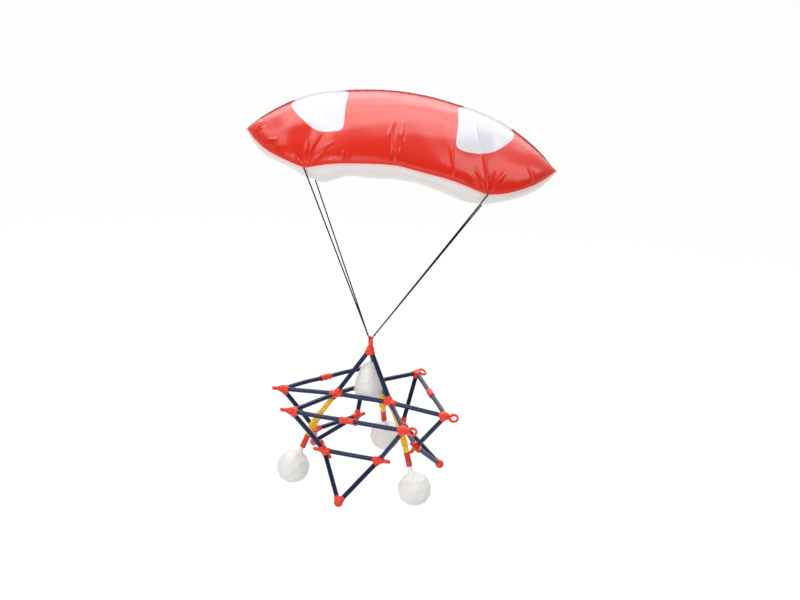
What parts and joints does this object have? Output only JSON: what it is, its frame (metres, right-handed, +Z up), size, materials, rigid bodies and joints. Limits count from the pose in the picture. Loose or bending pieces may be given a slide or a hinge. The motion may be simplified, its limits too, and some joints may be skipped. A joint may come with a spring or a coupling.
{
  "type": "toy parachute",
  "caption": "Toy parachute: an inflated film wing on taut lines carries a folded frame of straws and connectors that cradles an egg capsule on bendy legs with ball feet.",
  "frame": {"origin": "lift point at the middle of the wing's crown, from which the part is held up", "axes": "+Z up, towards the lift point; +X along the wing's span; the wing's lower front seam faces -Y"},
  "size_m": [0.4639, 0.2816, 0.6187],
  "materials": {
    "film_red": "glossy red film with white panels",
    "film_white": "glossy white film",
    "line": "black cord",
    "connector": "satin red-orange plastic",
    "straw": "satin navy plastic",
    "bendy": "satin yellow plastic",
    "ball": "satin white plastic",
    "egg": "satin white plastic"
  },
  "bodies": {
    "canopy": {"upper_film": "film_red", "lower_film": "film_white", "front_left_line": "line", "front_right_line": "line", "rear_left_line": "line", "rear_right_line": "line", "left_line_knot": "line", "right_line_knot": "line"},
    "loop": {"line_loop": "line"},
    "payload": {"apex_connector": "connector", "cradle_left_connector": "connector", "cradle_right_connector": "connector", "cradle_back_connector": "connector", "front_rim_a_connector": "connector", "front_rim_b_connector": "connector", "right_rim_a_connector": "connector", "right_rim_b_connector": "connector", "left_rim_a_connector": "connector", "left_rim_b_connector": "connector", "apex_straw_left": "straw", "apex_straw_right": "straw", "apex_straw_back": "straw", "cradle_straw_front": "straw", "cradle_straw_right": "straw", "cradle_straw_left": "straw", "front_arm_straw_a": "straw", "front_side_straw_a": "straw", "front_arm_straw_b": "straw", "front_side_straw_b": "straw", "front_rim_rail": "straw", "front_cross_bar": "connector", "front_tip_vee": "straw", "right_arm_straw_a": "straw", "right_side_straw_a": "straw", "right_arm_straw_b": "straw", "right_side_straw_b": "straw", "right_rim_rail": "straw", "right_cross_bar": "connector", "right_tip_vee": "straw", "left_arm_straw_a": "straw", "left_side_straw_a": "straw", "left_arm_straw_b": "straw", "left_side_straw_b": "straw", "left_rim_rail": "straw", "left_cross_bar": "connector", "left_tip_vee": "straw", "left_leg_upper_straw": "bendy", "left_leg_bellows": "bendy", "right_leg_upper_straw": "bendy", "right_leg_bellows": "bendy", "back_leg_upper_straw": "bendy", "back_leg_bellows": "bendy"},
    "egg": {"egg_front_shell": "egg", "egg_rear_shell": "egg"},
    "left_leg": {"left_leg_sleeve": "bendy", "left_ball_foot": "ball"},
    "right_leg": {"right_leg_sleeve": "bendy", "right_ball_foot": "ball"},
    "back_leg": {"back_leg_sleeve": "bendy", "back_ball_foot": "ball"}
  },
  "joints": [
    {"name": "loop_swing", "type": "hinge", "parent": "canopy", "child": "loop", "pos_m": [-0.035, 0.0259, -0.35102], "axis": [1, 0, 0], "range_deg": [-40, 40]},
    {"name": "payload_swing", "type": "hinge", "parent": "loop", "child": "payload", "pos_m": [-0.035, 0.0259, -0.35322], "axis": [0, 1, 0], "range_deg": [-35, 35]},
    {"name": "egg_spin", "type": "hinge", "parent": "payload", "child": "egg", "pos_m": [-0.035, 0.0259, -0.4465], "axis": [0, 0, 1], "continuous": true},
    {"name": "left_leg_bend", "type": "hinge", "parent": "payload", "child": "left_leg", "pos_m": [-0.11578, 0.00212, -0.49155], "axis": [0.2823, -0.9593, 0], "range_deg": [-35, 25], "deforming": ["left_leg_bellows"]},
    {"name": "right_leg_bend", "type": "hinge", "parent": "payload", "child": "right_leg", "pos_m": [0.02598, -0.03217, -0.49155], "axis": [0.6896, 0.7242, 0], "range_deg": [-35, 25], "deforming": ["right_leg_bellows"]},
    {"name": "back_leg_bend", "type": "hinge", "parent": "payload", "child": "back_leg", "pos_m": [-0.0152, 0.10775, -0.49155], "axis": [-0.972, 0.2351, 0], "range_deg": [-35, 25], "deforming": ["back_leg_bellows"]}
  ]
}
